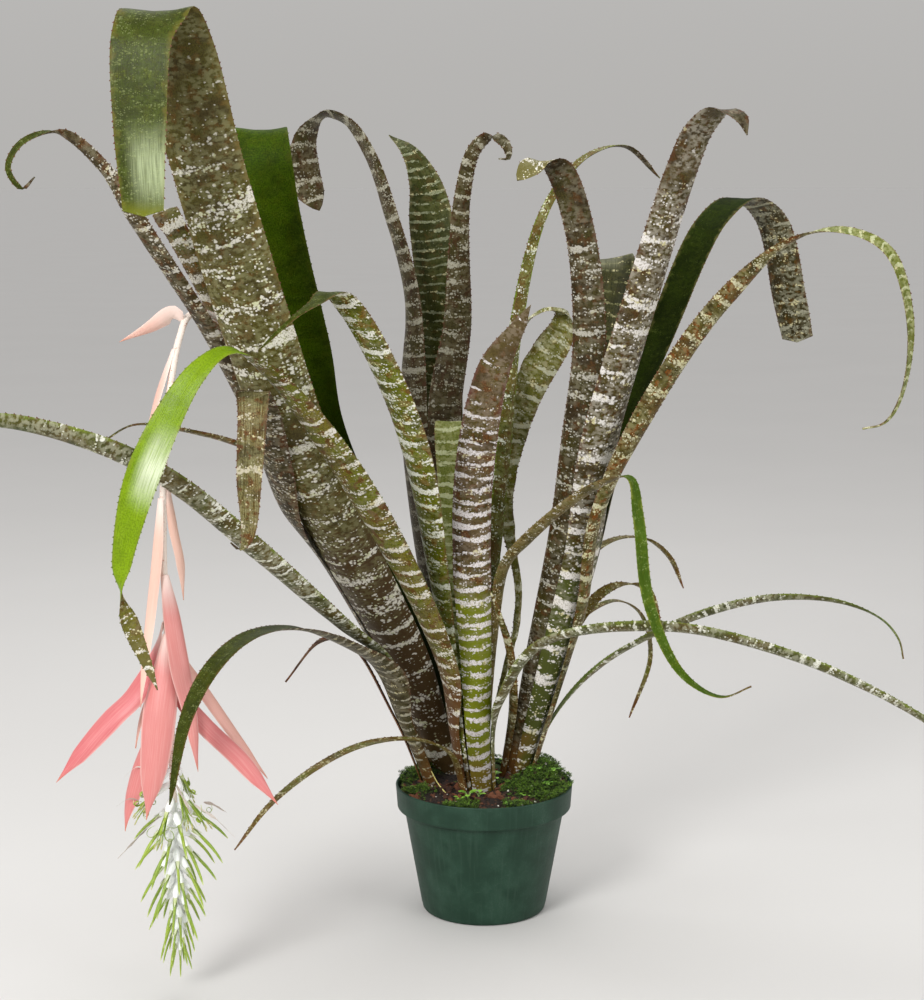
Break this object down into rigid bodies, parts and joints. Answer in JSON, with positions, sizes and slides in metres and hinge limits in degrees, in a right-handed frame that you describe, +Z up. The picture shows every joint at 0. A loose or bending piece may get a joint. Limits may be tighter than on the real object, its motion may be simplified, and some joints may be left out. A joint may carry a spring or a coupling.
{
  "type": "potted bromeliad in flower",
  "caption": "Pendent-flowering billbergia with banded strap leaves in tubular rosettes, pink bracts and a flower spike, in a round tapered nursery pot.",
  "frame": {"origin": "centre of the pot's flat foot, where it stands", "axes": "+Z up along the pot's axis; -Y is the front, towards the viewer of the picture; +X is to the viewer's right"},
  "size_m": [0.8652, 0.4967, 0.7372],
  "materials": {
    "leaf": "satin, olive and brown with silver-white bands and specks",
    "leaf_green": "glossy yellow-green with faint specks",
    "bract": "satin coral pink, paler above",
    "scape": "matt mealy white over pink",
    "flower": "mealy white ovaries and yellow-green petals",
    "pot": "dark green moulded plastic, satin",
    "soil": "dark bark with green moss"
  },
  "bodies": {
    "root": {"pot": "pot", "soil": "soil", "leaf_a1": "leaf", "leaf_a2": "leaf", "leaf_a3": "leaf", "leaf_a4": "leaf", "leaf_a5": "leaf_green", "leaf_b1": "leaf_green", "leaf_b2": "leaf", "leaf_b3": "leaf", "leaf_b4": "leaf", "leaf_b5": "leaf_green", "leaf_b6": "leaf", "leaf_b8": "leaf_green", "leaf_b9": "leaf_green", "leaf_b10": "leaf", "leaf_c1": "leaf", "leaf_c2": "leaf", "leaf_c3": "leaf_green", "leaf_c4": "leaf", "leaf_c5": "leaf_green", "leaf_c6": "leaf", "leaf_c7": "leaf", "leaf_c8": "leaf", "leaf_c9": "leaf", "leaf_c10": "leaf", "leaf_d1": "leaf", "leaf_d2": "leaf", "leaf_d3": "leaf", "leaf_d4": "leaf", "leaf_e1": "leaf", "leaf_e2": "leaf", "leaf_e3": "leaf", "scape": "scape", "bract_1": "bract", "bract_2": "bract", "bract_3": "bract", "bract_4": "bract", "bract_5": "bract", "bract_6": "bract", "bract_7": "bract", "bract_8": "bract", "bract_9": "bract", "bract_10": "bract", "bract_11": "bract", "flower_spike": "flower"}
  },
  "joints": []
}
